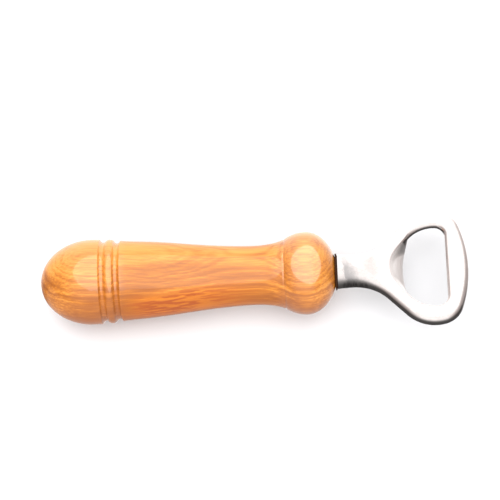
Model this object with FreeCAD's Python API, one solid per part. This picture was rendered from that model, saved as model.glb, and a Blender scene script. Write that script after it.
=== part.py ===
import FreeCAD, Part
import math
import os

# A souvenir bottle opener: a turned hardwood handle with a pressed sheet-steel head.
# Millimetres. +X runs along the handle from the butt to the ring, and +Z is up. The opener
# lies on the plane Z = 0, and the origin is under the middle of its length.

# ---- The whole opener ----
OVERALL_LENGTH = 160.0
HANDLE_LENGTH = 110.0
WASHER_THICKNESS = 1.0
BUTT_RADIUS = 15.95  # the thickest part, so it also sets the height of the axis

BUTT_X = -OVERALL_LENGTH / 2
HANDLE_END_X = BUTT_X + HANDLE_LENGTH
NECK_X = HANDLE_END_X + WASHER_THICKNESS
HEAD_LENGTH = OVERALL_LENGTH / 2 - NECK_X
AXIS_Z = BUTT_RADIUS

# ---- Handle: distances are measured from the butt, radii from the axis ----
BUTT_LENGTH = 19.45  # from the tip of the domed end to its thickest ring
GROOVE_1_START = (22.8, 15.80)
GROOVE_1_FLOOR = (24.0, 14.65)
BEAD_START = (25.2, 15.35)
BEAD_CREST = (26.6, 15.70)
BEAD_END = (28.0, 15.15)
GROOVE_2_FLOOR = (29.2, 14.15)
SHAFT_START = (30.4, 15.10)
SHAFT_MIDDLE = [(41.0, 14.30), (56.0, 12.78), (69.0, 11.54)]
SHAFT_WAIST = (80.3, 11.07)
SHAFT_FLARE = (86.3, 11.50)
BALL_START = 91.5  # the crease where the shaft runs into the ball
BALL_CENTRE = 99.5
BALL_RADIUS = 15.55
BALL_BACK = 14.6  # half-length of the ball's oval towards the shaft
BALL_FRONT = 11.6  # half-length of the ball's oval towards the head
BORE_RADIUS = 4.4
BORE_DEPTH = 31.0
DRILL_POINT_HEIGHT = 2.5

# ---- Washer between the wood and the neck ----
WASHER_RADIUS = 6.85
WASHER_HOLE_RADIUS = 4.1

# ---- Head: x is measured from the washer's face, z from the handle's axis ----
SHEET = 1.5
PLATE_TOP = 2.9
PLATE_BOTTOM = -1.3
NECK_END_RADIUS = 6.45
NECK_RADIUS = 6.1
NECK_WAIST_X = 6.0
TANG_RADIUS = 4.0
TANG_LENGTH = 30.0
SEAM_GAP = 0.4
SEAM_END_X = 8.0  # here the closed seam starts to open into the hollow of the plate
HOLLOW_START_X = 13.8  # from here on the underside is open to the full width inside the edges

# Outer edge of the plate, as arcs that run tangent into each other
NECK_ARC = 17.4
SHOULDER_ARC = 14.6
SHOULDER_X = 36.0
HALF_WIDTH = 23.1
CORNER_ARC = 9.5
TIP_ARC = 50.0

# Inner edge of the ring
ROOT_X = 19.0
ROOT_ARC = 8.1
INNER_SHOULDER_ARC = 13.0
INNER_CORNER_ARC = 4.0
INNER_CORNER_X = 36.75
INNER_HALF_WIDTH = 16.3
FAR_WALL_X = INNER_CORNER_X + INNER_CORNER_ARC

OUTER_ROUNDING = 2.1
INNER_ROUNDING = 1.5
INNER_EDGE_BOTTOM = 0.4  # the ring's inner edge is not turned down as far as its outer edge

# Where the flat plate and the shaped neck run through each other
PLATE_START_X = 14.0
NECK_LOFT_END_X = 18.0
FLATTENING_START_X = 7.0
LOFT_SKIN = 0.05  # the neck's last section stands this proud of the plate
LOWER_ROUNDING = 0.4
SHORTEST_SIDE = 0.05  # a round section keeps straight sides this short between its arcs

# Tongue, pressed down from the plate so that its lip hooks under a cap
TONGUE_BEND_X = 18.2
TONGUE_BEND_RADIUS = 4.0
TONGUE_SLOPE = math.radians(46.0)
TONGUE_DROP = 4.8  # from the plate's top to the lip's top
TONGUE_ROOT = 2.5  # how far the sheet runs back into the plate
TONGUE_REACH = 3.0  # the level stretch that the lip's arc is cut from
LIP_BEND_RADIUS = 3.0
TONGUE_CLEAR_X = 21.2  # the rim under the tongue's bend is cut away up to here
TONGUE_CLEAR_HALF_WIDTH = 7.0
LIP_X = 24.7
LIP_ARC = 33.0

FAR_BELOW = -20.0
FAR_ABOVE = 20.0

X_AXIS = FreeCAD.Vector(1, 0, 0)
Y_AXIS = FreeCAD.Vector(0, 1, 0)
Z_AXIS = FreeCAD.Vector(0, 0, 1)


def on_handle(distance, radius=0.0):
    """A point of the handle's half profile, in the upright plane through its axis."""
    return FreeCAD.Vector(BUTT_X + distance, 0, AXIS_Z + radius)


def on_head(x, y=0.0, z=0.0):
    """A point of the head, from the washer's face and the handle's axis."""
    return FreeCAD.Vector(NECK_X + x, y, AXIS_Z + z)


def line(start, end):
    return Part.makeLine(start, end)


def arc_through(start, middle, end):
    return Part.Arc(start, middle, end).toShape()


def face_of(edges):
    return Part.Face(Part.Wire(Part.__sortEdges__(edges)))


# ---------------------------------------------------------------- handle


def oval_arc(side, angle):
    """Part of the ball's outline, from its crown to an angle down one side."""
    crown = on_handle(BALL_CENTRE, BALL_RADIUS)
    centre = on_handle(BALL_CENTRE)
    pole = on_handle(BALL_CENTRE + side)
    oval = Part.Ellipse(crown, pole, centre)
    return Part.ArcOfEllipse(oval, 0.0, angle).toShape()


def butt_arc():
    """The domed end, a quarter of an oval from the axis to the thickest ring."""
    centre = on_handle(BUTT_LENGTH)
    oval = Part.Ellipse(on_handle(0.0), on_handle(BUTT_LENGTH, BUTT_RADIUS), centre)
    return Part.ArcOfEllipse(oval, 0.0, math.pi / 2).toShape()


def shaft_curve(end_radius):
    """The long waisted curve between the second groove and the ball."""
    stations = [SHAFT_START] + SHAFT_MIDDLE + [SHAFT_WAIST, SHAFT_FLARE, (BALL_START, end_radius)]
    curve = Part.BSplineCurve()
    curve.interpolate([on_handle(distance, radius) for distance, radius in stations])
    return curve.toShape()


def make_handle():
    """The turned handle, with a blind bore for the tang."""
    back_angle = math.asin((BALL_CENTRE - BALL_START) / BALL_BACK)
    front_angle = math.asin((HANDLE_LENGTH - BALL_CENTRE) / BALL_FRONT)
    crease_radius = BALL_RADIUS * math.cos(back_angle)
    end_radius = BALL_RADIUS * math.cos(front_angle)
    profile = [
        butt_arc(),
        line(on_handle(BUTT_LENGTH, BUTT_RADIUS), on_handle(*GROOVE_1_START)),
        arc_through(on_handle(*GROOVE_1_START), on_handle(*GROOVE_1_FLOOR), on_handle(*BEAD_START)),
        arc_through(on_handle(*BEAD_START), on_handle(*BEAD_CREST), on_handle(*BEAD_END)),
        arc_through(on_handle(*BEAD_END), on_handle(*GROOVE_2_FLOOR), on_handle(*SHAFT_START)),
        shaft_curve(crease_radius),
        oval_arc(-BALL_BACK, back_angle),
        oval_arc(BALL_FRONT, front_angle),
        line(on_handle(HANDLE_LENGTH, end_radius), on_handle(HANDLE_LENGTH)),
        line(on_handle(HANDLE_LENGTH), on_handle(0.0)),
    ]
    turned = face_of(profile).revolve(on_handle(0.0), X_AXIS, 360)
    bottom = on_handle(HANDLE_LENGTH - BORE_DEPTH)
    bore = Part.makeCylinder(BORE_RADIUS, BORE_DEPTH, bottom, X_AXIS)
    point = Part.makeCone(BORE_RADIUS, 0.0, DRILL_POINT_HEIGHT, bottom, -X_AXIS)
    return turned.cut(bore.fuse(point))


# ---------------------------------------------------------------- washer and adhesive


def make_washer():
    face = on_handle(HANDLE_LENGTH)
    disc = Part.makeCylinder(WASHER_RADIUS, WASHER_THICKNESS, face, X_AXIS)
    hole = Part.makeCylinder(WASHER_HOLE_RADIUS, WASHER_THICKNESS, face, X_AXIS)
    return disc.cut(hole)


def make_adhesive():
    """The cured sleeve that fills the bore round and behind the tang."""
    bottom = on_handle(HANDLE_LENGTH - BORE_DEPTH)
    sleeve = Part.makeCylinder(BORE_RADIUS, BORE_DEPTH, bottom, X_AXIS)
    point = Part.makeCone(BORE_RADIUS, 0.0, DRILL_POINT_HEIGHT, bottom, -X_AXIS)
    tang = Part.makeCylinder(TANG_RADIUS, TANG_LENGTH, on_head(-TANG_LENGTH), X_AXIS)
    return sleeve.fuse(point).cut(tang)


# ---------------------------------------------------------------- head outlines


def flank_angle():
    """The slope of the straight flank that touches the neck arc and the shoulder arc."""
    across = SHOULDER_X - NECK_WAIST_X
    down = (HALF_WIDTH - SHOULDER_ARC) - (NECK_RADIUS + NECK_ARC)
    between = math.hypot(across, down)
    return math.atan2(down, across) + math.asin((NECK_ARC + SHOULDER_ARC) / between)


def half_width(x):
    """Half the width of the neck and the first part of the plate."""
    if x <= NECK_WAIST_X:
        flare = (NECK_WAIST_X - x) / NECK_WAIST_X
        return NECK_RADIUS + (NECK_END_RADIUS - NECK_RADIUS) * flare**2
    slope = flank_angle()
    along = x - NECK_WAIST_X
    if along <= NECK_ARC * math.sin(slope):
        return NECK_RADIUS + NECK_ARC - math.sqrt(NECK_ARC**2 - along**2)
    rise = NECK_ARC * (1 - math.cos(slope))
    return NECK_RADIUS + rise + (along - NECK_ARC * math.sin(slope)) * math.tan(slope)


def mirrored(edges):
    """The same edges on the other side of the head's middle plane."""
    plane_point = on_head(0.0)
    return [edge.mirror(plane_point, Y_AXIS) for edge in edges]


def arc_about(centre, radius, start_angle, end_angle):
    """An arc in plan; angles are measured from +X."""
    middle_angle = (start_angle + end_angle) / 2
    ends = []
    for angle in (start_angle, middle_angle, end_angle):
        ends.append(
            on_head(centre[0] + radius * math.cos(angle), centre[1] + radius * math.sin(angle))
        )
    return arc_through(*ends)


def corner_centre():
    """Where the corner arc touches both the shoulder arc and the tip arc."""
    tip_x = HEAD_LENGTH - TIP_ARC
    shoulder_y = HALF_WIDTH - SHOULDER_ARC
    from_tip = TIP_ARC - CORNER_ARC
    from_shoulder = SHOULDER_ARC - CORNER_ARC
    across = SHOULDER_X - tip_x
    between = math.hypot(across, shoulder_y)
    heading = math.atan2(shoulder_y, across)
    cosine = (from_tip**2 + between**2 - from_shoulder**2) / (2 * from_tip * between)
    angle = heading + math.acos(cosine)
    return tip_x + from_tip * math.cos(angle), from_tip * math.sin(angle)


def outer_outline(inset, start_x):
    """The plate's outline in plan, drawn in by an inset and cut off straight at start_x.

    The cut lies on the neck arc, so start_x is before the straight flank begins.
    """
    slope = flank_angle()
    upright = math.pi / 2
    neck_centre = (NECK_WAIST_X, NECK_RADIUS + NECK_ARC)
    shoulder_centre = (SHOULDER_X, HALF_WIDTH - SHOULDER_ARC)
    corner = corner_centre()
    tip_centre = (HEAD_LENGTH - TIP_ARC, 0.0)
    start_angle = -math.acos((start_x - NECK_WAIST_X) / (NECK_ARC + inset))
    neck = arc_about(neck_centre, NECK_ARC + inset, start_angle, slope - upright)
    shoulder_end = math.atan2(corner[1] - shoulder_centre[1], corner[0] - shoulder_centre[0])
    shoulder = arc_about(
        shoulder_centre, SHOULDER_ARC - inset, slope + upright, shoulder_end
    )
    corner_end = math.atan2(corner[1], corner[0] - tip_centre[0])
    bend = arc_about(corner, CORNER_ARC - inset, shoulder_end, corner_end)
    flank = line(neck.Vertexes[-1].Point, shoulder.Vertexes[0].Point)
    half = [neck, flank, shoulder, bend]
    tip = arc_about(tip_centre, TIP_ARC - inset, corner_end, -corner_end)
    start = line(neck.Vertexes[0].Point, mirrored([neck])[0].Vertexes[0].Point)
    return face_of(half + [tip, start] + mirrored(half))


def inner_outline(outset):
    """The inner edge of the ring and of the trough round the tongue, let out by an outset."""
    upright = math.pi / 2
    root_centre = (ROOT_X + ROOT_ARC, 0.0)
    shoulder_centre = (INNER_CORNER_X, INNER_HALF_WIDTH - INNER_SHOULDER_ARC)
    corner = (INNER_CORNER_X, INNER_HALF_WIDTH - INNER_CORNER_ARC)
    across = shoulder_centre[0] - root_centre[0]
    between = math.hypot(across, shoulder_centre[1])
    slope = math.atan2(shoulder_centre[1], across)
    slope += math.asin((INNER_SHOULDER_ARC - ROOT_ARC) / between)
    touch = slope + upright
    shoulder = arc_about(shoulder_centre, INNER_SHOULDER_ARC + outset, touch, upright)
    bend = arc_about(corner, INNER_CORNER_ARC + outset, upright, 0.0)
    root = arc_about(root_centre, ROOT_ARC + outset, touch, 2 * math.pi - touch)
    flank = line(root.Vertexes[0].Point, shoulder.Vertexes[0].Point)
    half = [flank, shoulder, bend]
    far_x = FAR_WALL_X + outset
    far = line(on_head(far_x, corner[1]), on_head(far_x, -corner[1]))
    return face_of(half + [root, far] + mirrored(half))


def upright_prism(face, bottom, top):
    """A plan face drawn at the axis, extruded between two heights above the axis."""
    placed = face.copy()
    placed.translate(Z_AXIS * bottom)
    return placed.extrude(Z_AXIS * (top - bottom))


def top_edges(solid, height):
    """The edges that lie all the way at one height above the axis."""
    level = AXIS_Z + height
    near = 1e-6
    found = []
    for edge in solid.Edges:
        box = edge.BoundBox
        if abs(box.ZMin - level) < near and abs(box.ZMax - level) < near:
            found.append(edge)
    return found


# ---------------------------------------------------------------- head solids


def rounded_plate():
    """The ring and the flat behind it, as a solid with its upper edges rounded."""
    blank = upright_prism(outer_outline(0.0, PLATE_START_X), PLATE_BOTTOM, PLATE_TOP)
    outside = [edge for edge in top_edges(blank, PLATE_TOP) if not is_start_edge(edge)]
    blank = blank.makeFillet(OUTER_ROUNDING, outside)
    hole = upright_prism(inner_outline(0.0), FAR_BELOW, FAR_ABOVE)
    ring = blank.cut(hole)
    limit_x = on_head(ROOT_X).x - INNER_ROUNDING
    rim = []
    for edge in top_edges(ring, PLATE_TOP):
        if edge.BoundBox.XMin > limit_x and is_rim_edge(edge):
            rim.append(edge)
    return ring.makeFillet(INNER_ROUNDING, rim)


def is_start_edge(edge):
    box = edge.BoundBox
    return box.XMax - box.XMin < 1e-6


def is_rim_edge(edge):
    """True for an edge of the inner outline."""
    middle = edge.valueAt((edge.FirstParameter + edge.LastParameter) / 2)
    rim = inner_outline(0.0).OuterWire
    probe = Part.Vertex(FreeCAD.Vector(middle.x, middle.y, AXIS_Z))
    return rim.distToShape(probe)[0] < 1e-3


def rounded_section(x, width, top, bottom, top_radius, bottom_radius):
    """A closed section across the head: four corner arcs joined by short straight sides."""
    corners = [
        (width - top_radius, top - top_radius, top_radius, 0),
        (top_radius - width, top - top_radius, top_radius, 1),
        (bottom_radius - width, bottom + bottom_radius, bottom_radius, 2),
        (width - bottom_radius, bottom + bottom_radius, bottom_radius, 3),
    ]
    arcs = []
    for y, z, radius, quarter in corners:
        ends = []
        for share in (0.0, 0.5, 1.0):
            angle = (quarter + share) * math.pi / 2
            ends.append(on_head(x, y + radius * math.cos(angle), z + radius * math.sin(angle)))
        arcs.append(arc_through(*ends))
    edges = []
    for index, arc in enumerate(arcs):
        following = arcs[(index + 1) % len(arcs)]
        edges.append(arc)
        edges.append(line(arc.Vertexes[-1].Point, following.Vertexes[0].Point))
    return Part.Wire(edges)


def neck_section(x, skin):
    """A section of the neck: round at the washer, flat where it meets the plate."""
    run = (x - FLATTENING_START_X) / (NECK_LOFT_END_X - FLATTENING_START_X)
    run = min(max(run, 0.0), 1.0)
    blend = run * run * (3 - 2 * run)
    width = half_width(x)
    round_height = width if x <= NECK_WAIST_X else NECK_RADIUS
    top = round_height + (PLATE_TOP + LOFT_SKIN - round_height) * blend - skin
    bottom = -round_height + (PLATE_BOTTOM - LOFT_SKIN + round_height) * blend + skin
    round_corner = round_height - SHORTEST_SIDE
    top_radius = round_corner + (OUTER_ROUNDING - round_corner) * blend - skin
    bottom_radius = round_corner + (LOWER_ROUNDING - round_corner) * blend - skin
    return rounded_section(
        x,
        width + LOFT_SKIN * blend - skin,
        top,
        bottom,
        max(top_radius, SHORTEST_SIDE),
        max(bottom_radius, SHORTEST_SIDE),
    )


def neck_loft(skin, start_x, end_x):
    count = 7
    stations = [start_x + (end_x - start_x) * i / (count - 1) for i in range(count)]
    return Part.makeLoft([neck_section(x, skin) for x in stations], True)


def tongue_curve(depth):
    """The tongue's upper face seen from the side, or a face at a depth into its sheet.

    It bends down from the plate, runs down its slope and levels out again at the lip.
    """
    cosine = math.cos(TONGUE_SLOPE)
    sine = math.sin(TONGUE_SLOPE)
    upper_bend = (TONGUE_BEND_X, PLATE_TOP - TONGUE_BEND_RADIUS)
    bend_drop = (TONGUE_BEND_RADIUS + LIP_BEND_RADIUS) * (1 - cosine)
    slope_run = (TONGUE_DROP - bend_drop) * cosine / sine
    lip_bend_x = TONGUE_BEND_X + (TONGUE_BEND_RADIUS + LIP_BEND_RADIUS) * sine + slope_run
    lip_bend = (lip_bend_x, PLATE_TOP - TONGUE_DROP + LIP_BEND_RADIUS)

    def on_bend(centre, radius, lean):
        x = centre[0] + radius * math.sin(lean)
        return on_head(x, 0.0, centre[1] + radius * math.cos(lean))

    convex = TONGUE_BEND_RADIUS - depth
    concave = -LIP_BEND_RADIUS - depth
    first = [on_bend(upper_bend, convex, TONGUE_SLOPE * share) for share in (0.0, 0.5, 1.0)]
    last = [on_bend(lip_bend, concave, TONGUE_SLOPE * share) for share in (1.0, 0.5, 0.0)]
    return [
        line(first[0] - X_AXIS * TONGUE_ROOT, first[0]),
        arc_through(*first),
        line(first[-1], last[0]),
        arc_through(*last),
        line(last[-1], last[-1] + X_AXIS * TONGUE_REACH),
    ]


def sheet_side():
    """The tongue's sheet seen from the side."""
    upper = tongue_curve(0.0)
    lower = tongue_curve(SHEET)
    root = line(upper[0].Vertexes[0].Point, lower[0].Vertexes[0].Point)
    lip = line(upper[-1].Vertexes[-1].Point, lower[-1].Vertexes[-1].Point)
    return face_of(upper + lower + [root, lip])


def wall_side():
    """The side view of the walls beside the tongue, from its underside up into the plate."""
    lower = tongue_curve(SHEET)[1:]
    start = lower[0].Vertexes[0].Point
    end = lower[-1].Vertexes[-1].Point
    corner = FreeCAD.Vector(end.x, end.y, start.z)
    return face_of(lower + [line(end, corner), line(corner, start)])


def across_head(face):
    """A face in the middle plane, extruded to both sides."""
    placed = face.copy()
    placed.translate(Y_AXIS * -HALF_WIDTH)
    return placed.extrude(Y_AXIS * 2 * HALF_WIDTH)


def make_scoop():
    """The tongue and the two low walls that carry it under the ring."""
    let_out = upright_prism(inner_outline(SHEET), FAR_BELOW, FAR_ABOVE)
    opening = upright_prism(inner_outline(0.0), FAR_BELOW, FAR_ABOVE)
    sheet = across_head(sheet_side()).common(let_out)
    walls = across_head(wall_side()).common(let_out).cut(opening)
    beyond_lip = Part.makeCylinder(
        LIP_ARC, FAR_ABOVE - FAR_BELOW, on_head(LIP_X + LIP_ARC, 0.0, FAR_BELOW), Z_AXIS
    )
    return sheet.fuse(walls).cut(beyond_lip)


def channel():
    """The hollow under the ring, one sheet thickness inside its edges."""
    outer = outer_outline(SHEET, HOLLOW_START_X)
    hollow = upright_prism(outer, FAR_BELOW, PLATE_TOP - SHEET)
    return hollow.cut(upright_prism(inner_outline(SHEET), FAR_BELOW, FAR_ABOVE))


def space_under_inner_edge():
    """Trims the turned-down inner edge of the ring to its own bottom."""
    past_wall = 0.05
    return upright_prism(inner_outline(SHEET + past_wall), FAR_BELOW, INNER_EDGE_BOTTOM)


def space_behind_tongue():
    """Removes the rim that the root of the opening would leave under the tongue's bend."""
    start = HOLLOW_START_X + SHEET
    return Part.makeBox(
        TONGUE_CLEAR_X - start,
        2 * TONGUE_CLEAR_HALF_WIDTH,
        PLATE_TOP - SHEET - FAR_BELOW,
        on_head(start, -TONGUE_CLEAR_HALF_WIDTH, FAR_BELOW),
    )


def underside_slot():
    """The rolled seam under the tang and neck, which opens into the hollow of the plate."""
    gap = SEAM_GAP / 2
    wide = half_width(HOLLOW_START_X) - SHEET
    start = -TANG_LENGTH - 1.0
    upper = [(start, gap), (SEAM_END_X, gap), (HOLLOW_START_X, wide)]
    lower = [(x, -y) for x, y in reversed(upper)]
    corners = [on_head(x, y) for x, y in upper + lower]
    outline = Part.makePolygon(corners + corners[:1])
    return upright_prism(Part.Face(outline), FAR_BELOW, 0.0)


def make_head():
    """The whole pressed head: ring, tongue, neck and the tang that goes into the wood."""
    tang = Part.makeCylinder(TANG_RADIUS, TANG_LENGTH + 1.0, on_head(-TANG_LENGTH), X_AXIS)
    tang_hole = Part.makeCylinder(
        TANG_RADIUS - SHEET, TANG_LENGTH + 2 * SHEET, on_head(-TANG_LENGTH - 1.0), X_AXIS
    )
    neck = neck_loft(0.0, 0.0, NECK_LOFT_END_X)
    neck_hollow = neck_loft(SHEET, SHEET, NECK_LOFT_END_X)
    body = rounded_plate().fuse(neck).fuse(tang)
    body = body.cut(channel()).cut(neck_hollow).cut(tang_hole)
    body = body.cut(underside_slot()).cut(space_behind_tongue()).cut(space_under_inner_edge())
    return body.fuse(make_scoop()).removeSplitter()


PIECES = {
    "handle": make_handle,
    "collar_washer": make_washer,
    "tang_adhesive": make_adhesive,
    "opener_head": make_head,
}


def main():
    os.makedirs("parts", exist_ok=True)
    for name, make in PIECES.items():
        shape = make()
        shape.exportStep(os.path.join("parts", name + ".step"))
        box = shape.BoundBox
        print(
            name,
            "solids", len(shape.Solids),
            "valid", shape.isValid(),
            "volume", round(shape.Volume, 1),
            "x", round(box.XMin, 2), round(box.XMax, 2),
            "y", round(box.YMin, 2), round(box.YMax, 2),
            "z", round(box.ZMin, 2), round(box.ZMax, 2),
        )


main()
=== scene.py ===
import math

import bpy
import numpy as np
from mathutils import Matrix, Vector


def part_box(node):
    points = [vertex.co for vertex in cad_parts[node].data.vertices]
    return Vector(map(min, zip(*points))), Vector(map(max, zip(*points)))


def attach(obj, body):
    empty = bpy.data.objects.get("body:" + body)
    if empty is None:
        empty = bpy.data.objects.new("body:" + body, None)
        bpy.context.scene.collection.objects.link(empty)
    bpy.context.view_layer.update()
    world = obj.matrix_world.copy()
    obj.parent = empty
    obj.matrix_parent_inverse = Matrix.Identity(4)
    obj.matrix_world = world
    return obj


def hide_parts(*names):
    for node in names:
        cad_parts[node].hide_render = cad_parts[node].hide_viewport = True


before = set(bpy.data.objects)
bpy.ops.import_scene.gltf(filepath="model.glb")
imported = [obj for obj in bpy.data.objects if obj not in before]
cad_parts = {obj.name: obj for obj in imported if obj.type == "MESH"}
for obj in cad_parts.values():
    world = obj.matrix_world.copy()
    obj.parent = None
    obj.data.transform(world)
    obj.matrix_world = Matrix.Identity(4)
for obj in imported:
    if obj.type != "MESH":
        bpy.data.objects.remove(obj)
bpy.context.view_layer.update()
MM = 0.001

# ---- Places read from the frame, in millimetres ----
HANDLE_BOX = [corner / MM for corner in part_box("handle")]
WASHER_BOX = [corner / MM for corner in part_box("collar_washer")]
HEAD_BOX = [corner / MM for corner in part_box("opener_head")]
BUTT_X = HANDLE_BOX[0].x
HANDLE_LENGTH = HANDLE_BOX[1].x - HANDLE_BOX[0].x
BUTT_RADIUS = (HANDLE_BOX[1].y - HANDLE_BOX[0].y) / 2
AXIS_Z = (HANDLE_BOX[0].z + HANDLE_BOX[1].z) / 2
NECK_X = WASHER_BOX[1].x
HEAD_LENGTH = HEAD_BOX[1].x - NECK_X
TANG_LENGTH = NECK_X - HEAD_BOX[0].x
HALF_WIDTH = HEAD_BOX[1].y

# ---- Handle profile: (distance from the butt, radius) ----
BUTT_LENGTH = 19.45
GROOVE_1 = [(22.8, 15.80), (24.0, 14.65), (25.2, 15.35)]
BEAD = [(25.2, 15.35), (26.6, 15.70), (28.0, 15.15)]
GROOVE_2 = [(28.0, 15.15), (29.2, 14.15), (30.4, 15.10)]
SHAFT = [(30.4, 15.10), (41.0, 14.30), (56.0, 12.78), (69.0, 11.54), (80.3, 11.07), (86.3, 11.50)]
BALL_START = 91.5
CREASE_DEPTH = 0.2  # the crease is where the shaft runs into the ball
CREASE_HALF_WIDTH = 0.35
BALL_CENTRE = 99.5
BALL_RADIUS = 15.55
BALL_BACK = 14.6  # half-length of the ball's oval towards the shaft
BALL_FRONT = 11.6  # half-length of the ball's oval towards the head
BORE_RADIUS = 4.4
BORE_DEPTH = 31.0
END_LAP = 0.35  # how far the wood's end laps over the washer
DRILL_POINT_HEIGHT = 2.5
WASHER_HOLE_RADIUS = 4.1
WASHER_BEVEL = 0.15
ADHESIVE_CLEARANCE = 0.01

# ---- Head: x from the washer's face, z from the handle's axis ----
SHEET = 1.5
PLATE_TOP = 2.9
PLATE_BOTTOM = -1.3
NECK_END_RADIUS = 6.45
NECK_RADIUS = 6.1
NECK_WAIST_X = 6.0
TANG_RADIUS = 4.0
NECK_ARC = 17.4
SHOULDER_ARC = 14.6
SHOULDER_X = 36.0
CORNER_ARC = 9.5
TIP_ARC = 50.0
ROOT_X = 19.0
ROOT_ARC = 8.1
INNER_SHOULDER_ARC = 13.0
INNER_CORNER_ARC = 4.0
INNER_CORNER_X = 36.75
INNER_HALF_WIDTH = 16.3
OUTER_ROUNDING = 2.1
INNER_ROUNDING = 1.5
INNER_EDGE_BOTTOM = 0.4  # the inner edge is not turned down as far as the outer edge
INNER_EDGE_SLACK = 0.05
LOWER_ROUNDING = 0.4
LEAST_ROUNDING = 0.3
FLATTENING = (5.0, 19.5)  # between these the round neck turns into the flat plate
SEAM_GAP = 0.4
SEAM_END_X = 8.0  # here the closed seam starts to open into the hollow of the plate
SLOT_WIDENING = 6.4  # how far each side of the seam has opened at the hollow
HOLLOW_START_X = 13.8
TONGUE_ROOT_X = 15.7
TONGUE_START_X = 16.9  # here the tongue starts to fall
TONGUE_POWER = 2.2
LIP_DROP = 4.05
TONGUE_SIDE = (-0.9, 2.1)  # the tongue's sides rise between these distances inside the opening's edge
TONGUE_OVERLAP = 0.8 * SHEET  # how far the tongue's sheet reaches past that edge
TONGUE_CLEAR_X = 21.2  # the rim under the tongue's bend is cut away up to here
TONGUE_CLEAR_HALF_WIDTH = 7.0
LIP_X = 24.7
LIP_ARC = 33.0

# ---- Roundings between the head's shapes ----
END_BLEND = 0.5
HOLLOW_BLEND = 0.4
CUT_BLEND = 0.3
LIP_BLEND = 1.2
TONGUE_BLEND = 0.2

# ---- Fineness of the meshes ----
PROFILE_SPACING = 0.27
SEGMENTS = 160
ADHESIVE_SEGMENTS = 64
BUTT_STEPS = 120
GROOVE_STEPS = 24
SHAFT_STEPS = 200
SHAFT_DEGREE = 6
BALL_STEPS = 80
HEAD_PITCH = 0.25
PULLS = 3  # how often the head's points are moved onto its surface
PULL_REACH = 0.02
NORMAL_REACH = 0.03
SLOPE_REACH = 0.05
DEEP_INSIDE = -30.0
SLACK = 1e-6


# ---------------------------------------------------------------- meshes


def mesh_object(name, points, faces, normals=None):
    """A smooth-shaded mesh from millimetre points in the frame's own place."""
    mesh = bpy.data.meshes.new(name)
    mesh.from_pydata((np.asarray(points) * MM).tolist(), [], [list(face) for face in faces])
    mesh.update()
    mesh.shade_smooth()
    if normals is not None:
        mesh.normals_split_custom_set_from_vertices(normals.tolist())
    piece = bpy.data.objects.new(name, mesh)
    bpy.context.scene.collection.objects.link(piece)
    return piece


def lathe(name, profile, segments):
    """A closed solid of revolution about the handle's axis; a radius of 0 makes a pole."""
    points = []
    rings = []
    for distance, radius in profile:
        if radius < 1e-6:
            rings.append([len(points)])
            points.append((BUTT_X + distance, 0.0, AXIS_Z))
            continue
        first = len(points)
        rings.append(list(range(first, first + segments)))
        for step in range(segments):
            angle = 2 * math.pi * step / segments
            points.append(
                (BUTT_X + distance, radius * math.cos(angle), AXIS_Z + radius * math.sin(angle))
            )
    faces = []
    for near, far in zip(rings, rings[1:]):
        for step in range(segments):
            after = (step + 1) % segments
            if len(near) == 1:
                faces.append((near[0], far[after], far[step]))
            elif len(far) == 1:
                faces.append((near[step], near[after], far[0]))
            else:
                faces.append((near[step], near[after], far[after], far[step]))
    return mesh_object(name, points, faces)


# ---------------------------------------------------------------- handle


def arc_points(start, middle, end, count):
    """Points on the circle through three profile points, without the last one."""
    (ax, ay), (bx, by), (cx, cy) = start, middle, end
    d = 2 * (ax * (by - cy) + bx * (cy - ay) + cx * (ay - by))
    a2 = ax * ax + ay * ay
    b2 = bx * bx + by * by
    c2 = cx * cx + cy * cy
    ux = (a2 * (by - cy) + b2 * (cy - ay) + c2 * (ay - by)) / d
    uy = (a2 * (cx - bx) + b2 * (ax - cx) + c2 * (bx - ax)) / d
    radius = math.hypot(ax - ux, ay - uy)
    from_angle = math.atan2(ay - uy, ax - ux)
    to_angle = math.atan2(cy - uy, cx - ux)
    angles = [from_angle + (to_angle - from_angle) * i / count for i in range(count)]
    return [(ux + radius * math.cos(a), uy + radius * math.sin(a)) for a in angles]


def spaced(points, spacing):
    """The same polyline with points at an even spacing."""
    points = np.array(points)
    along = np.concatenate([[0.0], np.cumsum(np.hypot(*np.diff(points, axis=0).T))])
    count = max(2, round(along[-1] / spacing))
    at = np.linspace(0.0, along[-1], count + 1)
    return np.column_stack([np.interp(at, along, points[:, axis]) for axis in (0, 1)])


def softened(points, reach):
    """Rounds a polyline's corners by averaging each point with its neighbours."""
    weights = np.hanning(2 * reach + 3)[1:-1]
    weights /= weights.sum()
    result = points.copy()
    for axis in (0, 1):
        smooth = np.convolve(points[:, axis], weights, mode="valid")
        result[reach:-reach, axis] = smooth
    return result


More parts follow.
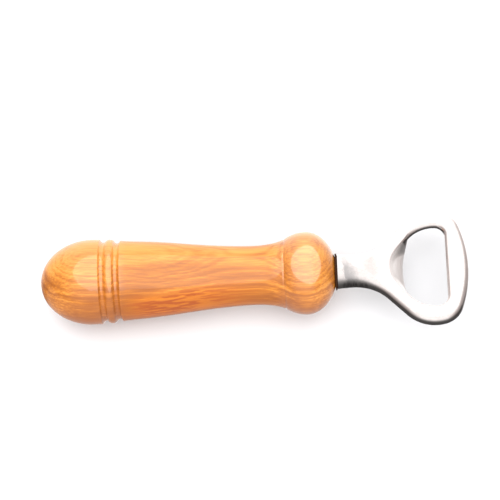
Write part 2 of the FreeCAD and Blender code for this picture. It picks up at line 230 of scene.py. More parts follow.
def handle_profile():
    """The turned outline from the butt's pole to the washer, then back along the bore."""
    outline = []
    for step in range(BUTT_STEPS):
        angle = math.pi / 2 * step / BUTT_STEPS
        outline.append((BUTT_LENGTH * (1 - math.cos(angle)), BUTT_RADIUS * math.sin(angle)))
    outline.append((BUTT_LENGTH, BUTT_RADIUS))
    for groove in (GROOVE_1, BEAD, GROOVE_2):
        outline += arc_points(*groove, GROOVE_STEPS)
    back_angle = math.asin((BALL_CENTRE - BALL_START) / BALL_BACK)
    end = HANDLE_LENGTH + END_LAP
    front_angle = math.asin((end - BALL_CENTRE) / BALL_FRONT)
    stations = SHAFT + [(BALL_START, BALL_RADIUS * math.cos(back_angle))]
    curve = np.polyfit([s for s, _ in stations], [r for _, r in stations], SHAFT_DEGREE)
    for distance in np.linspace(SHAFT[0][0], BALL_START, SHAFT_STEPS, endpoint=False):
        outline.append((distance, float(np.polyval(curve, distance))))
    for step in range(BALL_STEPS + 1):
        angle = -back_angle + (back_angle + front_angle) * step / BALL_STEPS
        reach = BALL_BACK if angle < 0 else BALL_FRONT
        outline.append((BALL_CENTRE + reach * math.sin(angle), BALL_RADIUS * math.cos(angle)))
    outline = softened(spaced(outline, PROFILE_SPACING), 1)
    from_crease = (outline[:, 0] - BALL_START) / CREASE_HALF_WIDTH
    outline[:, 1] -= CREASE_DEPTH * np.exp(-from_crease**2)
    outline[0] = (0.0, 0.0)
    end_radius = outline[-1][1]
    bottom = HANDLE_LENGTH - BORE_DEPTH
    tail = [
        (end, (end_radius + BORE_RADIUS) / 2),
        (end, BORE_RADIUS),
        (bottom, BORE_RADIUS),
        (bottom - DRILL_POINT_HEIGHT, 0.0),
    ]
    return [tuple(point) for point in outline] + tail


def make_handle():
    return lathe("turned_handle", handle_profile(), SEGMENTS)


def make_washer():
    """A thin flat ring with its outer rims bevelled."""
    near = WASHER_BOX[0].x + END_LAP - BUTT_X
    far = WASHER_BOX[1].x - BUTT_X
    rim = WASHER_BOX[1].y
    hole = WASHER_HOLE_RADIUS
    bevel = WASHER_BEVEL
    corner = bevel * 0.3
    middle = (near + far) / 2
    profile = [
        (near, hole),
        (near, rim - bevel),
        (near + corner, rim - corner),
        (near + bevel, rim),
        (middle, rim),
        (far - bevel, rim),
        (far - corner, rim - corner),
        (far, rim - bevel),
        (far, hole),
        (near, hole),
    ]
    return lathe("washer_ring", profile, SEGMENTS)


def make_adhesive():
    """The cured sleeve in the bore, with the tang's place left free."""
    bottom = HANDLE_LENGTH - BORE_DEPTH
    tang_end = HEAD_BOX[0].x - BUTT_X
    outside = BORE_RADIUS - ADHESIVE_CLEARANCE
    inside = TANG_RADIUS + ADHESIVE_CLEARANCE
    floor = tang_end - ADHESIVE_CLEARANCE
    profile = [
        (bottom - DRILL_POINT_HEIGHT + ADHESIVE_CLEARANCE, 0.0),
        (bottom, outside),
        (HANDLE_LENGTH, outside),
        (HANDLE_LENGTH, inside),
        (floor, inside),
        (floor, 0.0),
    ]
    return lathe("adhesive_sleeve", profile, ADHESIVE_SEGMENTS)


# ---------------------------------------------------------------- head field


def smooth_min(a, b, k):
    """The smaller of two fields, with the corner between them rounded over a width k."""
    h = np.maximum(k - np.abs(a - b), 0.0) / k
    return np.minimum(a, b) - h * h * k / 4


def smooth_max(a, b, k):
    """The larger of two fields, rounded in the same way."""
    return -smooth_min(-a, -b, k)


def nearest(current, candidate, valid):
    """Keeps whichever signed distance is nearer to the outline."""
    better = valid & (np.abs(candidate) < np.abs(current))
    return np.where(better, candidate, current)


def arc_distance(current, x, y, centre, radius, low, high, side):
    """Adds an arc between two angles to an outline's signed distance."""
    dx = x - centre[0]
    dy = y - centre[1]
    angle = np.arctan2(dy, dx)
    candidate = side * (np.hypot(dx, dy) - radius)
    return nearest(current, candidate, (angle >= low) & (angle <= high))


def line_distance(current, x, y, start, end):
    """Adds a straight run to an outline; its outside is on the left of start to end."""
    length = math.hypot(end[0] - start[0], end[1] - start[1])
    ux = (end[0] - start[0]) / length
    uy = (end[1] - start[1]) / length
    along = (x - start[0]) * ux + (y - start[1]) * uy
    across = (y - start[1]) * ux - (x - start[0]) * uy
    return nearest(current, across, (along >= 0) & (along <= length))


def flank_slope():
    """The angle of the straight flank between the neck's arc and the ring's shoulder."""
    across = SHOULDER_X - NECK_WAIST_X
    down = (HALF_WIDTH - SHOULDER_ARC) - (NECK_RADIUS + NECK_ARC)
    between = math.hypot(across, down)
    return math.atan2(down, across) + math.asin((NECK_ARC + SHOULDER_ARC) / between)


def half_width(x):
    """Half the width of the neck up to the end of its arc."""
    flare = np.clip((NECK_WAIST_X - x) / NECK_WAIST_X, 0.0, 1.0)
    return NECK_RADIUS + (NECK_END_RADIUS - NECK_RADIUS) * flare**2


def outer_distance(x, y):
    """Signed distance in plan to the outer edge of neck and ring, for y above 0."""
    slope = flank_slope()
    upright = math.pi / 2
    neck = (NECK_WAIST_X, NECK_RADIUS + NECK_ARC)
    shoulder = (SHOULDER_X, HALF_WIDTH - SHOULDER_ARC)
    tip_x = HEAD_LENGTH - TIP_ARC
    from_tip = TIP_ARC - CORNER_ARC
    from_shoulder = SHOULDER_ARC - CORNER_ARC
    between = math.hypot(shoulder[0] - tip_x, shoulder[1])
    cosine = (from_tip**2 + between**2 - from_shoulder**2) / (2 * from_tip * between)
    turn = math.atan2(shoulder[1], shoulder[0] - tip_x) + math.acos(cosine)
    corner = (tip_x + from_tip * math.cos(turn), from_tip * math.sin(turn))
    shoulder_end = math.atan2(corner[1] - shoulder[1], corner[0] - shoulder[0])
    flank_start = (neck[0] + NECK_ARC * math.sin(slope), neck[1] - NECK_ARC * math.cos(slope))
    flank_end = (
        shoulder[0] - SHOULDER_ARC * math.sin(slope),
        shoulder[1] + SHOULDER_ARC * math.cos(slope),
    )
    d = np.full_like(x, DEEP_INSIDE)
    d = nearest(d, y - half_width(x), x <= NECK_WAIST_X)
    d = arc_distance(d, x, y, neck, NECK_ARC, -upright - SLACK, slope - upright + SLACK, -1)
    d = line_distance(d, x, y, flank_start, flank_end)
    d = arc_distance(
        d, x, y, shoulder, SHOULDER_ARC, shoulder_end - SLACK, slope + upright + SLACK, 1
    )
    d = arc_distance(d, x, y, corner, CORNER_ARC, turn - SLACK, shoulder_end + SLACK, 1)
    return arc_distance(d, x, y, (tip_x, 0.0), TIP_ARC, -SLACK, turn + SLACK, 1)


def inner_distance(x, y):
    """Signed distance in plan to the edge of the opening and its trough, for y above 0."""
    upright = math.pi / 2
    root = (ROOT_X + ROOT_ARC, 0.0)
    shoulder = (INNER_CORNER_X, INNER_HALF_WIDTH - INNER_SHOULDER_ARC)
    corner = (INNER_CORNER_X, INNER_HALF_WIDTH - INNER_CORNER_ARC)
    between = math.hypot(shoulder[0] - root[0], shoulder[1])
    slope = math.atan2(shoulder[1], shoulder[0] - root[0])
    slope += math.asin((INNER_SHOULDER_ARC - ROOT_ARC) / between)
    touch = slope + upright
    ends = []
    for centre, radius in ((root, ROOT_ARC), (shoulder, INNER_SHOULDER_ARC)):
        ends.append((centre[0] + radius * math.cos(touch), centre[1] + radius * math.sin(touch)))
    far_x = INNER_CORNER_X + INNER_CORNER_ARC
    d = np.full_like(x, DEEP_INSIDE)
    d = arc_distance(d, x, y, root, ROOT_ARC, touch - SLACK, math.pi + SLACK, 1)
    d = line_distance(d, x, y, *ends)
    d = arc_distance(
        d, x, y, shoulder, INNER_SHOULDER_ARC, upright - SLACK, touch + SLACK, 1
    )
    d = arc_distance(d, x, y, corner, INNER_CORNER_ARC, -SLACK, upright + SLACK, 1)
    return nearest(d, x - far_x, y <= corner[1] + SLACK)


def rounded_top(edge, height, rounding):
    """A field for an upright body whose upper edge is rounded; height is measured up."""
    a = edge + rounding
    b = height + rounding
    outside = np.hypot(np.maximum(a, 0.0), np.maximum(b, 0.0))
    return np.minimum(np.maximum(a, b), 0.0) + outside - rounding


def blend_run(x, start, end):
    """Rises smoothly from 0 at the start to 1 at the end."""
    run = np.clip((x - start) / (end - start), 0.0, 1.0)
    return run * run * (3 - 2 * run)


def section(x, outer, inner, z, skin):
    """The neck and plate as one full body, drawn in by a skin thickness."""
    edge = np.maximum(outer, -inner)
    flat = blend_run(x, *FLATTENING)
    round_height = np.where(x <= NECK_WAIST_X, half_width(x), NECK_RADIUS)
    top = round_height + (PLATE_TOP - round_height) * flat - skin
    bottom = -round_height + (PLATE_BOTTOM + round_height) * flat + skin
    top_rounding = round_height + (OUTER_ROUNDING - round_height) * flat - skin
    low_rounding = round_height + (LOWER_ROUNDING - round_height) * flat - skin
    inner_rounding = max(INNER_ROUNDING - skin, LEAST_ROUNDING)
    upper = rounded_top(outer + skin, z - top, np.maximum(top_rounding, LEAST_ROUNDING))
    upper_inner = rounded_top(skin - inner, z - top, inner_rounding)
    lower = rounded_top(edge + skin, bottom - z, np.maximum(low_rounding, LEAST_ROUNDING))
    return np.maximum(np.maximum(upper, upper_inner), lower)


def tongue_fall(x):
    """How far the middle of the tongue has dropped: gently at first, then steeper to the lip."""
    run = np.clip((x - TONGUE_START_X) / (LIP_X - TONGUE_START_X), 0.0, 1.3)
    return LIP_DROP * run**TONGUE_POWER


def tongue_sheet(x, inner, z):
    """The tongue as a pressed dish: it falls along the head and rises again at its sides."""
    fall = tongue_fall(x)
    dish = blend_run(-inner, *TONGUE_SIDE)
    across = blend_run(SLOPE_REACH - inner, *TONGUE_SIDE)
    across -= blend_run(-SLOPE_REACH - inner, *TONGUE_SIDE)
    ahead = tongue_fall(x + SLOPE_REACH) - tongue_fall(x - SLOPE_REACH)
    along_slope = dish * ahead / (2 * SLOPE_REACH)
    side_slope = fall * across / (2 * SLOPE_REACH)
    lean = np.sqrt(1 + along_slope**2 + side_slope**2)
    below_top = (z - (PLATE_TOP - fall * dish)) / lean
    ends = np.maximum(inner - TONGUE_OVERLAP, TONGUE_ROOT_X - x)
    return np.maximum(np.maximum(below_top, -below_top - SHEET), ends)


def head_field(x, y, z):
    """Below 0 inside the pressed steel of the head, in millimetres."""
    y = np.abs(y)
    outer = outer_distance(x, y)
    inner = inner_distance(x, y)
    edge = np.maximum(outer, -inner)
    radial = np.hypot(y, z)

    body = smooth_max(section(x, outer, inner, z, 0.0), -x, END_BLEND)
    tang = np.maximum(radial - TANG_RADIUS, np.maximum(-TANG_LENGTH - x, x - SHEET))
    body = np.minimum(body, tang)

    hollow = smooth_max(section(x, outer, inner, z, SHEET), SHEET - x, HOLLOW_BLEND)
    channel = np.maximum(edge + SHEET, np.maximum(z - (PLATE_TOP - SHEET), HOLLOW_START_X - x))
    tube = np.maximum(radial - (TANG_RADIUS - SHEET), x - 2 * SHEET)
    opening = np.clip((x - SEAM_END_X) / (HOLLOW_START_X - SEAM_END_X), 0.0, 1.0)
    slot_half = SEAM_GAP / 2 + opening * SLOT_WIDENING
    slot = np.maximum(np.maximum(y - slot_half, z), x - (HOLLOW_START_X + SHEET))
    behind = np.maximum(
        np.maximum(y - TONGUE_CLEAR_HALF_WIDTH, z - (PLATE_TOP - SHEET)),
        np.maximum(HOLLOW_START_X + SHEET - x, x - TONGUE_CLEAR_X),
    )
    cut = np.minimum(np.minimum(hollow, channel), np.minimum(tube, slot))
    cut = smooth_min(cut, behind, CUT_BLEND)
    under_edge = np.maximum(inner - SHEET - INNER_EDGE_SLACK, z - INNER_EDGE_BOTTOM)
    cut = np.minimum(cut, under_edge)
    body = smooth_max(body, -cut, CUT_BLEND)

    lip = LIP_ARC - np.hypot(x - (LIP_X + LIP_ARC), y)
    scoop = smooth_max(tongue_sheet(x, inner, z), lip, LIP_BLEND)
    return smooth_min(body, scoop, TONGUE_BLEND)


def gradient(field, points, reach):
    """The field's slope at each point, by central differences."""
    slopes = []
    for axis in range(3):
        step = np.zeros(3)
        step[axis] = reach
        ahead = field(*(points + step).T)
        behind = field(*(points - step).T)
        slopes.append((ahead - behind) / (2 * reach))
    return np.column_stack(slopes)


def surface_net(field, low, high, pitch):
    """Quads over the surface where a field is 0: one point per grid cell that it crosses."""
    axes = [np.arange(a, b + pitch, pitch) for a, b in zip(low, high)]
    shape = tuple(len(axis) for axis in axes)
    values = np.empty(shape, np.float32)
    yy, zz = np.meshgrid(axes[1], axes[2], indexing="ij")
    for index, x in enumerate(axes[0]):
        values[index] = field(np.full_like(yy, x), yy, zz)
    inside = values < 0
    cells = tuple(n - 1 for n in shape)
    total = np.zeros(cells + (3,), np.float32)
    count = np.zeros(cells, np.int32)
    crossings = []
    for axis in range(3):
        lower = [slice(None)] * 3
        upper = [slice(None)] * 3
        lower[axis] = slice(0, -1)
        upper[axis] = slice(1, None)
        lower, upper = tuple(lower), tuple(upper)
        crossed = inside[lower] != inside[upper]
        crossings.append((crossed, inside[lower]))
        span = np.where(crossed, values[lower] - values[upper], 1.0)
        share = np.where(crossed, values[lower] / span, 0.0).astype(np.float32)
        first, second = [a for a in range(3) if a != axis]
        for i in (0, 1):
            for j in (0, 1):
                part = [slice(None)] * 3
                part[first] = slice(i, cells[first] + i)
                part[second] = slice(j, cells[second] + j)
                part = tuple(part)
                here = crossed[part]
                count += here
                total[..., axis] += share[part]
                total[..., first] += here * np.float32(i)
                total[..., second] += here * np.float32(j)
    used = count > 0
    number = np.full(cells, -1, np.int64)
    number[used] = np.arange(used.sum())
    origin = np.array([axis[0] for axis in axes])
    corner = np.argwhere(used)
    points = origin + (corner + total[used] / count[used][:, None]) * pitch
    faces = []
    for axis in range(3):
        crossed, starts_inside = crossings[axis]
        first, second = (axis + 1) % 3, (axis + 2) % 3
        where = np.argwhere(crossed)
        clear = (where[:, first] > 0) & (where[:, second] > 0)
        clear &= (where[:, first] < cells[first]) & (where[:, second] < cells[second])
        where = where[clear]
        flip = ~starts_inside[tuple(where.T)]
        ring = []
        for i, j in ((1, 1), (0, 1), (0, 0), (1, 0)):
            cell = where.copy()
            cell[:, first] -= i
            cell[:, second] -= j
            ring.append(number[tuple(cell.T)])
        quad = np.column_stack(ring)
        quad[flip] = quad[flip][:, ::-1]
        faces.append(quad)
    return points, np.concatenate(faces)


def make_head():
    """The pressed steel head, meshed from its field and pulled onto its surface."""
    pitch = HEAD_PITCH
    margin = 1.3 * pitch
    low = (-TANG_LENGTH - margin, -HALF_WIDTH - margin, -NECK_END_RADIUS - margin)
    high = (HEAD_LENGTH + margin, HALF_WIDTH + margin, NECK_END_RADIUS + margin)
    points, faces = surface_net(head_field, low, high, pitch)
    for _ in range(PULLS):
        slope = gradient(head_field, points, PULL_REACH)
        size = np.maximum((slope**2).sum(1), 0.25)
        step = slope * (head_field(*points.T) / size)[:, None]
        points = points - np.clip(step, -0.5 * pitch, 0.5 * pitch)
    slope = gradient(head_field, points, NORMAL_REACH)
    normals = slope / np.maximum(np.linalg.norm(slope, axis=1), 1e-9)[:, None]
    placed = points + (NECK_X, 0.0, AXIS_Z)
    return mesh_object("steel_head", placed, faces, normals)


# ---------------------------------------------------------------- materials


class Nodes:
    """A short way to write the node graph of a new material, or of the world."""

    def __init__(self, name, world=None):
        self.material = world or bpy.data.materials.new(name)
        self.material.use_nodes = True
        self.tree = self.material.node_tree
        self.shader = self.tree.nodes["Background" if world else "Principled BSDF"]

    def add(self, kind, settings=None, **inputs):
        node = self.tree.nodes.new(kind)
        for key, value in (settings or {}).items():
            setattr(node, key, value)
        for key, value in inputs.items():
            self.feed(node, key.replace("_", " "), value)
        return node

    def feed(self, node, key, value):
        socket = node.inputs[int(key) if key.isdigit() else key]
        if isinstance(value, bpy.types.NodeSocket):
            self.tree.links.new(value, socket)
        else:
            socket.default_value = value

    def math(self, operation, a, b=0.0, c=0.0):
        node = self.add("ShaderNodeMath", {"operation": operation})
        for index, value in enumerate((a, b, c)):
            self.feed(node, str(index), value)
        return node.outputs[0]

    def weighted(self, *pairs):
        """A sum of values, each with its weight."""
        total = 0.0
        for value, weight in pairs:
            total = self.math("MULTIPLY_ADD", value, weight, total)
        return total

    def ramp(self, value, low, high):
        """Rises smoothly from 0 where the value is low to 1 where it is high."""
        node = self.add("ShaderNodeMapRange", {"interpolation_type": "SMOOTHSTEP"}, Value=value)
        node.inputs["From Min"].default_value = low
        node.inputs["From Max"].default_value = high
        return node.outputs["Result"]

    def place(self):
        """The object's own x, y and z in millimetres."""
        where = self.add("ShaderNodeTexCoord").outputs["Object"]
        scaled = self.add("ShaderNodeVectorMath", {"operation": "SCALE"}, Scale=1 / MM)
        self.tree.links.new(where, scaled.inputs[0])
        split = self.add("ShaderNodeSeparateXYZ")
        self.tree.links.new(scaled.outputs[0], split.inputs[0])
        return scaled.outputs[0], split.outputs

    def noise(self, vector, scale, detail, roughness=0.5, shift=(0.0, 0.0, 0.0)):
        """Noise stretched by a different scale on each axis."""
        mapping = self.add("ShaderNodeMapping", Vector=vector, Scale=scale, Location=shift)
        node = self.add(
            "ShaderNodeTexNoise", Vector=mapping.outputs[0], Scale=1.0, Detail=detail,
            Roughness=roughness,
        )
        return node.outputs["Fac"]

    def mix(self, factor, a, b):
        """Goes from colour a to colour b as the factor goes from 0 to 1."""
        node = self.add("ShaderNodeMix", {"data_type": "RGBA"})
        self.feed(node, "0", factor)
        self.feed(node, "6", a)
        self.feed(node, "7", b)
        return node.outputs[2]

    def bump(self, height, distance, strength):
        node = self.add("ShaderNodeBump", Height=height, Distance=distance, Strength=strength)
        self.tree.links.new(node.outputs[0], self.shader.inputs["Normal"])

    def colours(self, value, stops):
        """Looks a value up in a row of (position, colour) stops."""
        node = self.add("ShaderNodeValToRGB", Fac=value)
        elements = node.color_ramp.elements
        while len(elements) < len(stops):
            elements.new(0.5)
        for element, (position, colour) in zip(elements, stops):
            element.position = position
            element.color = (*colour, 1.0)
        return node.outputs["Color"]


PALE_WOOD = (0.68, 0.300, 0.050)
YELLOW_WOOD = (0.60, 0.215, 0.024)
ORANGE_WOOD = (0.44, 0.138, 0.012)
BROWN_WOOD = (0.30, 0.082, 0.008)
AMBER_WOOD = (0.62, 0.170, 0.006)
RED_WOOD = (0.30, 0.050, 0.004)
GROWTH_TILT = Vector((0.03, 0.40, 0.92))
WOOD_DEPTH = 32.0  # the handle's thickness; across it the wood is painted darker downwards and to the front, as painted shade
# Each pair is a place where something fades in or out: (none of it, all of it), in millimetres.
SHAFT_IN = (-54.0, -46.0)
SHAFT_OUT = (14.0, 6.0)
BUTT_IN = (-48.0, -54.0)
BALL_END_IN = (8.0, 12.0)
BALL_END_OUT = (20.0, 14.0)
STREAKS_IN = (-52.0, -38.0)
STREAKS_OUT = (8.0, -24.0)
STREAKS_FRONT = (-5.0, -9.0)
STREAKS_TOP = (27.0, 23.0)
STREAKS_BOTTOM = (12.0, 16.0)


def wood_material():
    """Lacquered wood: nearly level growth layers, so that their lines hug the round ends."""
    n = Nodes("lacquered_wood")
    where, (x, y, z) = n.place()
    shaft = n.math("MULTIPLY", n.ramp(x, *SHAFT_IN), n.ramp(x, *SHAFT_OUT))
    wave = n.noise(where, (0.020, 0.06, 0.06), 2.0)
    ripple = n.noise(where, (0.09, 0.35, 0.35), 2.0, shift=(7.0, 3.0, 1.0))
    layer = n.weighted(
        (z, GROWTH_TILT.z), (x, GROWTH_TILT.x), (y, GROWTH_TILT.y), (wave, 9.0), (ripple, 1.2),
        (n.math("MULTIPLY", shaft, ripple), -0.8),
    )
    bands = n.add(
        "ShaderNodeTexNoise", {"noise_dimensions": "1D"}, W=layer, Scale=0.62, Detail=2.0,
        Roughness=0.6,
    ).outputs["Fac"]
    broad = n.noise(where, (0.028, 0.14, 0.12), 2.0, shift=(2.0, 9.0, 4.0))
    fibres = n.noise(where, (0.045, 1.6, 1.6), 4.0, 0.66)
    # Painted shade: the wood is painted darker towards the bottom and towards the front, where less
    # light falls.
    painted_shade_below = n.math("MULTIPLY_ADD", z, -1 / WOOD_DEPTH, 0.5)
    front = n.math("MULTIPLY", y, -1 / WOOD_DEPTH)
    ball_end = n.math("MULTIPLY", n.ramp(x, *BALL_END_IN), n.ramp(x, *BALL_END_OUT))
    tone = n.weighted(
        (bands, 0.46), (broad, 0.72), (fibres, 0.68), (painted_shade_below, 0.25), (front, 0.52),
        (ball_end, 0.09), (shaft, 0.06),
    )
    colour = n.colours(
        n.ramp(tone, 0.58, 1.27),
        [(0.0, PALE_WOOD), (0.30, YELLOW_WOOD), (0.62, ORANGE_WOOD), (1.0, BROWN_WOOD)],
    )
    streak = n.noise(where, (0.045, 1.1, 1.1), 3.0, 0.55, shift=(5.0, 1.0, 8.0))
    low_front = n.math("MULTIPLY", n.ramp(y, *STREAKS_FRONT), n.ramp(z, *STREAKS_TOP))
    low_front = n.math("MULTIPLY", low_front, n.ramp(z, *STREAKS_BOTTOM))
    reddened = n.math("MULTIPLY", n.ramp(x, *STREAKS_IN), n.ramp(x, *STREAKS_OUT))
    reddened = n.math("MULTIPLY", reddened, low_front)
    colour = n.mix(n.math("MULTIPLY", reddened, 0.5), colour, (*AMBER_WOOD, 1.0))
    streaks = n.math("MULTIPLY", n.ramp(streak, 0.46, 0.56), reddened)
    colour = n.mix(n.math("MULTIPLY", streaks, 0.8), colour, (*RED_WOOD, 1.0))
    n.feed(n.shader, "Base Color", colour)
    n.feed(n.shader, "Roughness", n.weighted((fibres, 0.3), (0.3, 1.0)))
    n.shader.inputs["IOR"].default_value = 1.3
    butt = n.ramp(x, *BUTT_IN)
    worn = n.weighted(
        (butt, -0.35), (shaft, -0.90), (n.math("MULTIPLY", shaft, fibres), 0.4), (1.0, 1.0)
    )
    n.feed(n.shader, "Coat Weight", worn)
    n.shader.inputs["Coat Roughness"].default_value = 0.07
    n.shader.inputs["Coat IOR"].default_value = 1.6
    n.bump(n.weighted((fibres, 0.6), (ripple, 0.4)), 0.00006, 0.5)
    return n.material


STEEL_PALE = (0.72, 0.665, 0.645, 1.0)
STEEL_DEEP = (0.64, 0.585, 0.565, 1.0)
PATCH_GREY = (0.40, 0.375, 0.37, 1.0)
# Colours of the painted dark reflection along the neck's lower front, with paler streaks.
REFLECTION_DARK = (0.11, 0.096, 0.094, 1.0)
REFLECTION_STREAK_PALE = (0.50, 0.45, 0.435, 1.0)
# The tongue's colour is painted paler as painted reflected light.
TONGUE_PAINTED_LIGHT = (0.93, 0.90, 0.885, 1.0)
# Pairs of places as for the wood. The painted dark reflection's first two count from near the washer's
# face.
DARK_REFLECTION_IN = (1.6, 2.6)
DARK_REFLECTION_OUT = (17.0, 9.0)
DARK_REFLECTION_HEIGHT = (AXIS_Z + 3.5, AXIS_Z + 1.0)
DARK_REFLECTION_FRONT = (0.0, -3.0)
TONGUE_IN = (NECK_X + 18.0, NECK_X + 20.0)
TONGUE_OUT = (57.5, 56.5)
TONGUE_HEIGHT = (AXIS_Z + 2.88, AXIS_Z + 2.3)
TONGUE_SIDES = (10.6, 9.6)


def steel_material():
    """Polished steel: lengthwise scratches, a dull greyer patch on the neck, a painted dark reflection
    streaked along the neck's lower front, and the tongue painted paler as painted reflected light.
    """
    n = Nodes("polished_steel")
    where, (x, y, z) = n.place()
    scratches = n.noise(where, (0.25, 5.0, 5.0), 3.0, 0.6)
    smears = n.noise(where, (0.5, 0.35, 0.35), 3.0, 0.6, shift=(3.0, 2.0, 0.0))
    ragged = n.noise(where, (0.5, 0.3, 0.3), 4.0, 0.75, shift=(1.0, 6.0, 2.0))
    along = n.weighted((x, 1.0), (smears, 1.6), (-0.8 - NECK_X, 1.0))
    past_washer = n.weighted((x, 1.0), (ragged, 5.0), (y, 0.25), (-2.5 - NECK_X, 1.0))
    patch = n.math("MULTIPLY", n.ramp(past_washer, 1.6, 2.8), n.ramp(past_washer, 8.0, 3.0))
    patch = n.math("MULTIPLY", patch, n.ramp(n.weighted((y, 1.0), (ragged, 4.0)), 6.5, 0.5))
    reflection_streaks = n.noise(where, (1.5, 0.22, 0.22), 3.0, 0.7)
    # Painted dark reflection: the neck's lower front is painted near black in lengthwise streaks, where
    # it mirrors dark surroundings.
    low = n.math("MULTIPLY", n.ramp(along, *DARK_REFLECTION_IN), n.ramp(along, *DARK_REFLECTION_OUT))
    low = n.math("MULTIPLY", low, n.ramp(z, *DARK_REFLECTION_HEIGHT))
    low = n.math("MULTIPLY", low, n.ramp(y, *DARK_REFLECTION_FRONT))
    painted_dark_reflection = n.mix(n.ramp(reflection_streaks, 0.36, 0.62), REFLECTION_DARK, REFLECTION_STREAK_PALE)
    # The tongue is rougher, and its colour is painted paler as painted reflected light.
    tongue = n.math("MULTIPLY", n.ramp(x, *TONGUE_IN), n.ramp(x, *TONGUE_OUT))
    tongue = n.math("MULTIPLY", tongue, n.ramp(z, *TONGUE_HEIGHT))
    tongue = n.math("MULTIPLY", tongue, n.ramp(n.math("ABSOLUTE", y), *TONGUE_SIDES))
    tone = n.weighted((smears, 0.5), (scratches, 0.5))
    colour = n.mix(n.ramp(tone, 0.35, 0.65), STEEL_PALE, STEEL_DEEP)
    colour = n.mix(patch, colour, PATCH_GREY)
    colour = n.mix(n.math("MULTIPLY", low, 0.85), colour, painted_dark_reflection)
    colour = n.mix(tongue, colour, TONGUE_PAINTED_LIGHT)
    n.feed(n.shader, "Base Color", colour)
    n.shader.inputs["Metallic"].default_value = 1.0
    n.feed(
        n.shader, "Roughness",
        n.weighted((smears, 0.07), (scratches, 0.06), (patch, 0.06), (tongue, 0.38), (0.03, 1.0)),
    )
    n.bump(scratches, 0.00002, 0.3)
    return n.material


def dark_material(name, colour, rough, ior):
    """A plain moulded surface with a fine grain."""
    n = Nodes(name)
    where, _ = n.place()
    grain = n.noise(where, (3.0, 3.0, 3.0), 3.0, 0.6)
    paler = tuple(min(1.0, c * 1.5 + 0.005) for c in colour)
    n.feed(n.shader, "Base Color", n.mix(n.ramp(grain, 0.4, 0.7), (*colour, 1.0), (*paler, 1.0)))
    n.feed(n.shader, "Roughness", n.weighted((grain, 0.2), (rough, 1.0)))
    n.shader.inputs["IOR"].default_value = ior
    n.bump(grain, 0.00003, 0.4)
    return n.material


def washer_material():
    return dark_material("dark_washer", (0.030, 0.012, 0.006), 0.75, 1.2)


def adhesive_material():
    return dark_material("adhesive", (0.42, 0.30, 0.14), 0.5, 1.5)


# ---------------------------------------------------------------- studio


# Places here are in metres and turns in degrees.
CAMERA_PLACE = Vector((0.0332, -0.4016, 0.8395))
CAMERA_TARGET = Vector((-0.0013, 0.0107, AXIS_Z * MM))
CAMERA_ROLL = -6.7
CAMERA_LENS = 176.4
FLOOR_HALF_SIZE = 3.0
FLOOR_COLOUR = (0.70, 0.705, 0.72, 1)
FILL_ENERGY = 0.80 * math.pi
FILL_SPREAD = 100
FILL_TILT = 35


def add_camera():
    """The camera looks down on the opener from in front, slightly rolled."""
    place = CAMERA_PLACE
    data = bpy.data.cameras.new("camera")
    data.sensor_width = 36.0
    data.lens = CAMERA_LENS
    data.clip_end = 50.0
    camera = bpy.data.objects.new("camera", data)
    turn = (CAMERA_TARGET - place).to_track_quat("-Z", "Y").to_matrix().to_4x4()
    roll = Matrix.Rotation(math.radians(CAMERA_ROLL), 4, "Z")
    camera.matrix_world = Matrix.Translation(place) @ turn @ roll
    bpy.context.scene.collection.objects.link(camera)
    bpy.context.scene.camera = camera


def add_floor():
    """A plain pale floor that the polish of the opener doesn't show."""
    size = FLOOR_HALF_SIZE
    mesh = bpy.data.meshes.new("floor")
    corners = [(-size, -size, 0), (size, -size, 0), (size, size, 0), (-size, size, 0)]
    mesh.from_pydata(corners, [], [(0, 1, 2, 3)])
    floor = bpy.data.objects.new("floor", mesh)
    bpy.context.scene.collection.objects.link(floor)
    n = Nodes("floor")
    n.shader.inputs["Base Color"].default_value = FLOOR_COLOUR
    n.shader.inputs["Roughness"].default_value = 1.0
    n.shader.inputs["Specular IOR Level"].default_value = 0.0
    mesh.materials.append(n.material)
    floor.visible_glossy = False


def add_panel(name, low, high, height, glow, colour, seen_by, faces_up=False):
    """A level glowing oval that only shows as a reflection, in the polish of one piece."""
    size = (high[0] - low[0], high[1] - low[1])
    data = bpy.data.lights.new(name, "AREA")
    data.shape = "ELLIPSE"
    data.size, data.size_y = size
    data.energy = glow * math.pi * (math.pi / 4) * size[0] * size[1]
    data.color = colour
    light = bpy.data.objects.new(name, data)
    light.location = ((low[0] + high[0]) / 2, (low[1] + high[1]) / 2, height)
    if faces_up:
        light.rotation_euler = (math.pi, 0.0, 0.0)
    light.visible_camera = False
    light.visible_diffuse = False
    receivers = bpy.data.collections.new(name + "_receivers")
    receivers.objects.link(seen_by)
    light.light_linking.receiver_collection = receivers
    bpy.context.scene.collection.objects.link(light)


def add_fill():
    """A broad soft light from the front, which only opens up the shadows."""
    data = bpy.data.lights.new("front_fill", "SUN")
    data.energy = FILL_ENERGY
    data.angle = math.radians(FILL_SPREAD)
    light = bpy.data.objects.new("front_fill", data)
    light.rotation_euler = (math.radians(FILL_TILT), 0.0, 0.0)
    light.visible_glossy = False
    bpy.context.scene.collection.objects.link(light)


# The studio's brightness against a direction's height, which counts as more towards the back.
BACK_GAIN = 2.4
BACK_LIMIT = 0.55
STUDIO = [
    (-1.00, 0.09), (-0.75, 0.10), (-0.55, 0.15), (-0.30, 0.28), (-0.06, 0.49), (0.10, 0.79),
    (0.28, 1.18), (0.50, 1.42), (0.80, 1.55), (1.50, 1.70), (1.90, 1.80),
]
STUDIO_PEAK = 1.8
SIDE_START = 0.38
SIDE_END = 0.90
SIDE_DIMMING = 0.60
SIDE_TINT = (1.0, 0.925, 0.905, 1.0)


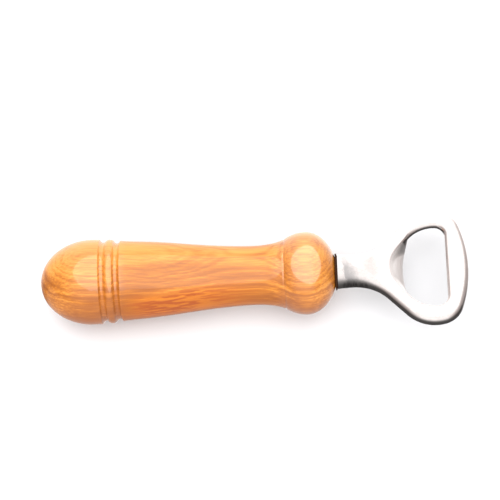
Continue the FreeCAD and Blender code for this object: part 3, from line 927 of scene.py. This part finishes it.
def add_world():
    """A soft studio: white above and behind, greyer to the sides, dark in front and below."""
    world = bpy.data.worlds.new("studio")
    bpy.context.scene.world = world
    n = Nodes("studio", world)
    split = n.add("ShaderNodeSeparateXYZ")
    n.tree.links.new(n.add("ShaderNodeTexCoord").outputs["Generated"], split.inputs[0])
    x, y, z = split.outputs
    behind = n.math("MINIMUM", n.math("MAXIMUM", y, 0.0), BACK_LIMIT)
    height = n.math("MULTIPLY_ADD", behind, BACK_GAIN, z)
    low = STUDIO[0][0]
    high = STUDIO[-1][0]
    stops = []
    for level, glow in STUDIO:
        grey = glow / STUDIO_PEAK
        stops.append(((level - low) / (high - low), (grey, grey, grey)))
    share = n.math("MULTIPLY_ADD", height, 1 / (high - low), -low / (high - low))
    side = n.ramp(n.math("ABSOLUTE", x), SIDE_START, SIDE_END)
    tint = n.mix(side, (1.0, 1.0, 1.0, 1.0), SIDE_TINT)
    glow = n.colours(share, stops)
    tinted = n.add("ShaderNodeVectorMath", {"operation": "MULTIPLY"})
    n.feed(tinted, "0", glow)
    n.feed(tinted, "1", tint)
    n.feed(n.shader, "Color", tinted.outputs[0])
    strength = n.math("MULTIPLY_ADD", side, -SIDE_DIMMING * STUDIO_PEAK, STUDIO_PEAK)
    n.feed(n.shader, "Strength", strength)


# ---------------------------------------------------------------- assembly


PIECES = [
    (make_handle, "handle", "lacquered_wood", wood_material),
    (make_washer, "collar_washer", "dark_washer", washer_material),
    (make_adhesive, "tang_adhesive", "adhesive", adhesive_material),
    (make_head, "opener_head", "polished_steel", steel_material),
]

add_camera()
pieces = {}
for make, node, slot, material in PIECES:
    piece = make()
    pieces[node] = piece
    piece.data.materials.append(material())
    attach(piece, "root")
    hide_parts(node)

add_floor()
add_world()
add_fill()
add_panel(
    "overhead_panel", low=(-0.225, -0.40), high=(0.78, 0.42), height=0.27, glow=3.5,
    colour=(1.0, 0.96, 0.84), seen_by=pieces["handle"],
)
add_panel(
    "floor_sheen", low=(-1.5, -1.5), high=(1.5, -0.004), height=0.0003, glow=0.6,
    colour=(1.0, 0.96, 0.94), seen_by=pieces["handle"], faces_up=True,
)
bpy.context.scene.view_settings.view_transform = "Standard"
